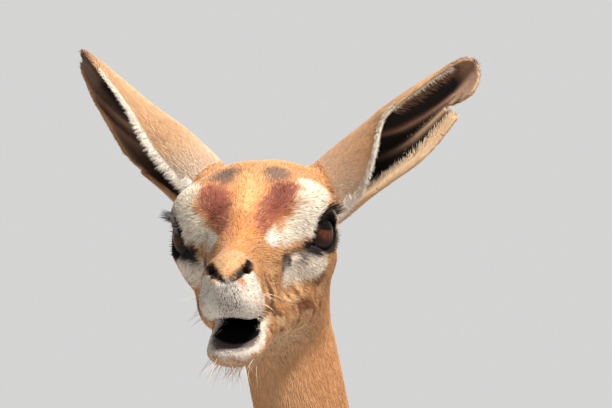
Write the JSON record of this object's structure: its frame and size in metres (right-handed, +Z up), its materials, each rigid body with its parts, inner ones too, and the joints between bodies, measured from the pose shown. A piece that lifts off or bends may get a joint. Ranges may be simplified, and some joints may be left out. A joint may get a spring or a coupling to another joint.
{
  "type": "gerenuk",
  "caption": "Life-size standing antelope model with a long slim neck, large cupped ears, slender legs and a tufted tail, its head turned and mouth a little open.",
  "frame": {"origin": "centre of the bounding box's footprint, on the ground under the soles", "axes": "+Z up, the animal faces -Y, its left side is +X"},
  "size_m": [0.249, 1.13, 1.4338],
  "materials": {
    "fawn_coat": "short flat fur, rufous fawn with a darker back and white belly",
    "pale_coat": "short pale fur of the chin and lower lip",
    "ear_skin": "thin ear with short fur outside, dark inside, pale fringe",
    "eye": "wet, dark brown",
    "horn": "dark streaked hoof horn",
    "black_hair": "long black tail hair"
  },
  "bodies": {
    "root": {"torso": "fawn_coat", "neck": "fawn_coat", "head": "fawn_coat", "jaw": "pale_coat", "ear_left": "ear_skin", "ear_right": "ear_skin", "eye_left": "eye", "eye_right": "eye", "foreleg_left_upper": "fawn_coat", "foreleg_left_lower": "fawn_coat", "foreleg_right_upper": "fawn_coat", "foreleg_right_lower": "fawn_coat", "hindleg_left_upper": "fawn_coat", "hindleg_left_lower": "fawn_coat", "hindleg_right_upper": "fawn_coat", "hindleg_right_lower": "fawn_coat", "hoof_fore_left_inner": "horn", "hoof_fore_left_outer": "horn", "hoof_fore_right_inner": "horn", "hoof_fore_right_outer": "horn", "hoof_hind_left_inner": "horn", "hoof_hind_left_outer": "horn", "hoof_hind_right_inner": "horn", "hoof_hind_right_outer": "horn", "tail": "fawn_coat", "tail_tuft": "black_hair"}
  },
  "joints": []
}
